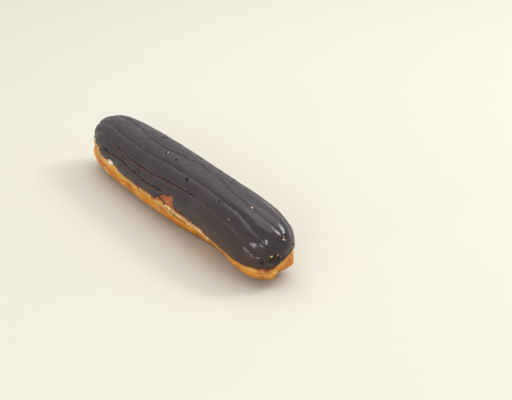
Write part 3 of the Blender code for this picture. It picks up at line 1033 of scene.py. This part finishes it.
def build_flakes(crust, normals, below):
    """Thin pale flakes on the rim of the choux."""
    rng = np.random.default_rng(22)
    flat, flat_normals = crust.reshape(-1, 3), normals.reshape(-1, 3)
    x, y, z = flat.T / MM
    off_line = np.abs(z - np.interp(x, *zip(*RIM_LINE)))
    near_rim = (x > RIM_ENDS[0] + FLAKE_MARGINS[0]) & (x < RIM_ENDS[1] - FLAKE_MARGINS[1]) & (y < 0.0)
    near_rim &= (off_line < FLAKE_SPREAD) & (below.ravel() > FLAKE_DROP)
    lumps = []
    spots = rng.choice(np.flatnonzero(near_rim), FLAKES, replace=False)
    for seed, spot in enumerate(spots, start=300):
        size = rng.uniform(*FLAKE_SIZES) * MM * 0.5
        sizes = np.array([size * rng.uniform(*FLAKE_LENGTHS), size, size * FLAKE_THICKNESS])
        lean = Euler(rng.normal(0.0, FLAKE_TURN, 3)).to_matrix()
        turn = lean @ turn_to(flat_normals[spot], rng.uniform(-FLAKE_TURN, FLAKE_TURN))
        centre = flat[spot] + flat_normals[spot] * size * FLAKE_RAISE
        lumps.append((*lump(centre, turn, sizes, seed, FLAKE_FINENESS), rng.uniform(0.0, 1.0)))
    return join_lumps("flakes", lumps)


def build_cream():
    """A bead of cream that has worked out under the icing, drawn out into points along its edge."""
    low, high = (np.array(corner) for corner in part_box("cream"))
    points, faces = ball(CREAM_FINENESS)
    reach = CREAM_BODY + layered_noise(points, CREAM_LUMPS, seed=150)
    start, span = CREAM_CONE
    for way, length in CREAM_POINTS:
        facing = points @ np.array(way) / math.hypot(*way)
        reach += length * smooth_step((facing - start) / span) ** 2
    centre, half = (low + high) / 2.0, (high - low) / 2.0
    return mesh_object("cream_bead", points * reach[:, None] * half + centre, faces)


def new_material(name, roughness):
    """A material, its node tree's shader and the tree."""
    material = bpy.data.materials.new(name)
    material.use_nodes = True
    tree = material.node_tree
    shader = tree.nodes["Principled BSDF"]
    shader.inputs["Roughness"].default_value = roughness
    return material, tree, shader


def new_node(tree, kind, inputs):
    """A new shader node of a kind, with a value or a shader output on each given input."""
    made = tree.nodes.new("ShaderNode" + kind)
    for name, value in inputs.items():
        fill(tree, made.inputs[name], value)
    return made


def fill(tree, socket, value):
    """Put a value or a shader output on a socket."""
    if isinstance(value, bpy.types.NodeSocket):
        tree.links.new(value, socket)
    else:
        socket.default_value = value


def attribute(tree, name):
    """The number that the mesh keeps under a name, as a shader output."""
    made = new_node(tree, "Attribute", {})
    made.attribute_name = name
    return made.outputs["Fac"]


def texture_place(tree, stretch=(1.0, 1.0, 1.0)):
    """Places on the object in metres, stretched by a factor along each axis."""
    place = new_node(tree, "TexCoord", {}).outputs["Object"]
    return new_node(tree, "Mapping", {"Vector": place, "Scale": stretch}).outputs["Vector"]


def noise(tree, place, size, detail=2.0):
    """Smooth noise from 0 to 1 with features of about the given size in metres."""
    inputs = {"Vector": place, "Scale": 1.0 / size, "Detail": detail}
    return new_node(tree, "TexNoise", inputs).outputs["Fac"]


def ranged(tree, value, low, high, to_low=0.0, to_high=1.0):
    """The value, with low to high turned into to_low to to_high and held there beyond."""
    inputs = {"Value": value, "From Min": low, "From Max": high, "To Min": to_low, "To Max": to_high}
    return new_node(tree, "MapRange", inputs).outputs["Result"]


def mixed(tree, share, first, second):
    """Two colours mixed by a share from 0 to 1. A colour is three numbers or a shader output."""
    made = new_node(tree, "Mix", {"Factor": share})
    made.data_type = "RGBA"
    for name, colour in (("A", first), ("B", second)):
        socket = next(s for s in made.inputs if s.name == name and s.type == "RGBA")
        fill(tree, socket, (*colour, 1.0) if isinstance(colour, tuple) else colour)
    return next(s for s in made.outputs if s.type == "RGBA")


def product(tree, first, second):
    """Two numbers multiplied."""
    made = new_node(tree, "Math", {0: first, 1: second})
    made.operation = "MULTIPLY"
    return made.outputs[0]


def along_axes(tree):
    """Place on the object in metres, as one shader output for each of X, Y and Z."""
    return new_node(tree, "SeparateXYZ", {"Vector": texture_place(tree)}).outputs


def add_grain(tree, shader, height, depth):
    """The finest relief for the shader, from a height from 0 to 1 and its depth in metres."""
    made = new_node(tree, "Bump", {"Distance": depth, "Height": height})
    fill(tree, shader.inputs["Normal"], made.outputs["Normal"])


def icing_material():
    """Set dark chocolate: satin and greyish, reddish along its cracks and at its thin edge, with a painted
    warm reflection low on its front and painted shade in its pits and cracks, and glossier at the +X tip.
    """
    material, tree, shader = new_material("chocolate", 0.4)
    place = texture_place(tree, (0.6, 1.0, 1.0))
    colour = mixed(tree, ranged(tree, noise(tree, place, 0.012, 3.0), 0.35, 0.65), ICING_DARK, ICING_LIGHT)
    red = ranged(tree, attribute(tree, "red_line"), 0.05, 0.85, 0.0, 0.85)
    speckle = ranged(tree, noise(tree, place, 0.0012, 4.0), 0.35, 0.6)
    colour = mixed(tree, product(tree, red, speckle), colour, ICING_RED)
    # Painted warm reflection of the floor, low on the front
    colour = mixed(tree, attribute(tree, "painted_reflection"), colour, ICING_PAINTED_REFLECTION)
    edge = ranged(tree, attribute(tree, "edge"), 0.25, 1.0, 0.0, 0.7)
    colour = mixed(tree, edge, colour, ICING_EDGE)
    # Painted shade in the pits and along the cracks, where the icing also reflects less
    colour = mixed(tree, attribute(tree, "painted_hollow_shade"), colour, ICING_HOLLOW_SHADE)
    tree.links.new(colour, shader.inputs["Base Color"])
    specular = ranged(tree, attribute(tree, "painted_hollow_shade"), 0.1, 0.9, 0.5, 0.05)
    tree.links.new(specular, shader.inputs["Specular IOR Level"])
    gloss = ranged(tree, along_axes(tree)["X"], 0.046, 0.066, 0.43, 0.19)
    long_place = texture_place(tree, (0.3, 1.0, 1.0))
    uneven = ranged(tree, noise(tree, long_place, 0.0018, 6.0), 0.35, 0.65, 0.7, 1.35)
    tree.links.new(product(tree, gloss, uneven), shader.inputs["Roughness"])
    shader.inputs["IOR"].default_value = 1.46
    add_grain(tree, shader, noise(tree, place, 0.0009, 4.0), 0.00009)
    return material


def baked_colour(tree, long_place):
    """Colour of the choux: golden, pale at the top of the rim and toasted below, with painted highlight on
    its wrinkles' crests and painted shade in their valleys.
    """
    axes = along_axes(tree)
    baked = ranged(tree, noise(tree, long_place, 0.006, 5.0), 0.40, 0.62)
    colour = mixed(tree, baked, CRUST_GOLD, CRUST_AMBER)
    far_share = ranged(tree, axes["X"], 0.022, 0.060, 1.0, 0.3)
    pale = ranged(tree, attribute(tree, "below_icing"), 0.4, 4.0, 1.0, 0.0)
    pale = product(tree, pale, far_share)
    patchy = ranged(tree, noise(tree, long_place, 0.0035, 4.0), 0.35, 0.55, 0.45, 1.0)
    colour = mixed(tree, product(tree, pale, patchy), colour, CRUST_PALE_AND_HIGHLIGHT)
    low = ranged(tree, axes["Z"], 0.0010, 0.0075, 0.75, 0.0)
    colour = mixed(tree, low, colour, CRUST_TOAST_AND_SHADE)
    # Painted highlight on the wrinkles' crests and painted shade in their valleys
    crest = ranged(tree, attribute(tree, "wrinkles"), 0.1, 0.9, 0.0, 0.5)
    colour = mixed(tree, product(tree, crest, far_share), colour, CRUST_PALE_AND_HIGHLIGHT)
    painted_valley_shade = ranged(tree, attribute(tree, "wrinkles"), -0.9, -0.15, 0.5, 0.0)
    return mixed(tree, painted_valley_shade, colour, CRUST_TOAST_AND_SHADE)


def stained_colour(tree, colour, place, long_place):
    """The baked colour with its freckles and burnt spots, its red film and pale rim under the icing, and
    painted shade in its grooves.
    """
    freckle = ranged(tree, noise(tree, place, 0.0011, 3.0), 0.60, 0.68, 0.0, 0.85)
    speckled = ranged(tree, noise(tree, long_place, 0.0050, 3.0), 0.44, 0.58)
    colour = mixed(tree, product(tree, freckle, speckled), colour, CRUST_TOAST_AND_SHADE)
    colour = mixed(tree, attribute(tree, "burnt"), colour, CRUST_BURNT_AND_SHADE)
    # The red film and the pale rim are the choux's own colours; the grooves get painted shade
    for name, limits, stain in (
        ("red_film", (0.1, 0.9, 0.0, 0.92), CRUST_RED),
        ("pale_rim", (0.2, 0.7, 0.0, 0.85), CRUST_FLAKE),
        ("groove_and_painted_shade", (0.1, 0.45, 0.0, 0.9), CRUST_BURNT_AND_SHADE),
    ):
        colour = mixed(tree, ranged(tree, attribute(tree, name), *limits), colour, stain)
    return colour


def crust_material():
    """Baked choux: golden and uneven, stained under the icing, with painted highlight and shade on its
    wrinkles and painted shade in its grooves.
    """
    material, tree, shader = new_material("baked_choux", 0.5)
    shader.inputs["Specular IOR Level"].default_value = 0.25
    place, long_place = texture_place(tree), texture_place(tree, (0.35, 1.0, 1.0))
    colour = stained_colour(tree, baked_colour(tree, long_place), place, long_place)
    tree.links.new(colour, shader.inputs["Base Color"])
    roughness = ranged(tree, noise(tree, place, 0.004, 3.0), 0.3, 0.7, 0.38, 0.6)
    tree.links.new(roughness, shader.inputs["Roughness"])
    add_grain(tree, shader, noise(tree, place, 0.0007, 5.0), 0.00012)
    return material


def cream_material():
    """Whipped cream, soft and slightly uneven in tone."""
    material, tree, shader = new_material("whipped_cream", 0.45)
    shade = ranged(tree, noise(tree, texture_place(tree), 0.0008, 3.0), 0.35, 0.7)
    tree.links.new(mixed(tree, shade, CREAM_LIGHT, CREAM_SHADE), shader.inputs["Base Color"])
    add_grain(tree, shader, noise(tree, texture_place(tree), 0.0004, 3.0), 0.00005)
    return material


def crumb_material(name, pale, middle, dark):
    """Crumbs of three tones, each uneven in itself."""
    material, tree, shader = new_material(name, 0.55)
    tone = attribute(tree, "tone")
    colour = mixed(tree, ranged(tree, tone, 0.0, 0.5), pale, middle)
    colour = mixed(tree, ranged(tree, tone, 0.5, 1.0), colour, dark)
    shade = ranged(tree, noise(tree, texture_place(tree), 0.0004, 3.0), 0.4, 0.75, 0.0, 0.5)
    tree.links.new(mixed(tree, shade, colour, dark), shader.inputs["Base Color"])
    add_grain(tree, shader, noise(tree, texture_place(tree), 0.0002, 3.0), 0.00004)
    return material


def dress(piece, material, node=None):
    """Give a piece its material and its body, and hide the CAD part that it stands for."""
    piece.data.materials.append(material)
    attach(piece, BODY)
    if node:
        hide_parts(node)


def aim(thing, direction, roll=0.0):
    """Turn a camera or a light to look along a direction."""
    turn = Vector(direction).to_track_quat("-Z", "Y").to_matrix()
    spin = Euler((0.0, 0.0, math.radians(roll))).to_matrix()
    thing.rotation_euler = (turn @ spin).to_euler()


def add_light(name, place, target, size, power, colour=(1.0, 1.0, 1.0)):
    """A soft square light at a place, pointed at a target."""
    data = bpy.data.lights.new(name, "AREA")
    data.size = size
    data.energy = power
    data.color = colour
    light = bpy.data.objects.new(name, data)
    bpy.context.scene.collection.objects.link(light)
    light.location = place
    aim(light, Vector(target) - Vector(place))


def build_floor():
    """Plain pale floor."""
    mesh = bpy.data.meshes.new("floor")
    signs = ((-1, -1), (1, -1), (1, 1), (-1, 1))
    mesh.from_pydata([(FLOOR_HALF * x, FLOOR_HALF * y, 0) for x, y in signs], [], [(0, 1, 2, 3)])
    floor = bpy.data.objects.new("floor", mesh)
    bpy.context.scene.collection.objects.link(floor)
    material, _, shader = new_material("pale_floor", 0.7)
    shader.inputs["Base Color"].default_value = (*FLOOR_COLOUR, 1.0)
    mesh.materials.append(material)


def build_lights():
    """Soft even light from all round and above, and the lights that show as gloss."""
    world = bpy.data.worlds.new("soft_surroundings")
    world.use_nodes = True
    background = world.node_tree.nodes["Background"]
    background.inputs["Color"].default_value = (*SURROUNDINGS_COLOUR, 1.0)
    background.inputs["Strength"].default_value = SURROUNDINGS_STRENGTH
    bpy.context.scene.world = world
    near_end = (LENGTH / 2.0, 0.0, AXIS_HEIGHT)
    for number, (place, side, power) in enumerate(WINDOWS, start=1):
        add_light(f"window_{number}", place, near_end, side, power, WINDOW_COLOUR)
    place, side, power = OVERHEAD
    add_light("overhead", place, (0.0, 0.0, 0.0), side, power)


def build_camera():
    """The camera, at the photograph's viewing angle."""
    data = bpy.data.cameras.new("camera")
    data.lens = CAMERA_LENS
    data.sensor_width = 36.0
    data.clip_start, data.clip_end = 0.01, 20.0
    camera = bpy.data.objects.new("camera", data)
    bpy.context.scene.collection.objects.link(camera)
    camera.location = CAMERA_PLACE
    aim(camera, CAMERA_AIM, CAMERA_ROLL)
    bpy.context.scene.camera = camera
    bpy.context.scene.view_settings.view_transform = "Standard"


def main():
    """Set the stage and dress the CAD model."""
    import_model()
    build_floor()
    build_lights()
    build_camera()
    icing, outer, normals, depth_in = build_icing()
    dress(icing, icing_material(), "icing")
    crumbs = build_crumbs(outer, normals, depth_in)
    dress(crumbs, crumb_material("crumb", CRUMB_PALE, CRUMB_GOLD, CRUMB_RED))
    dress(build_bits(outer, normals), icing.data.materials[0])
    crust, skin, skin_normals, below = build_crust()
    dress(crust, crust_material(), "choux")
    flakes = build_flakes(skin, skin_normals, below)
    dress(flakes, crumb_material("flake", FLAKE_PALE, FLAKE_GOLD, FLAKE_BROWN))
    dress(build_cream(), cream_material(), "cream")


main()
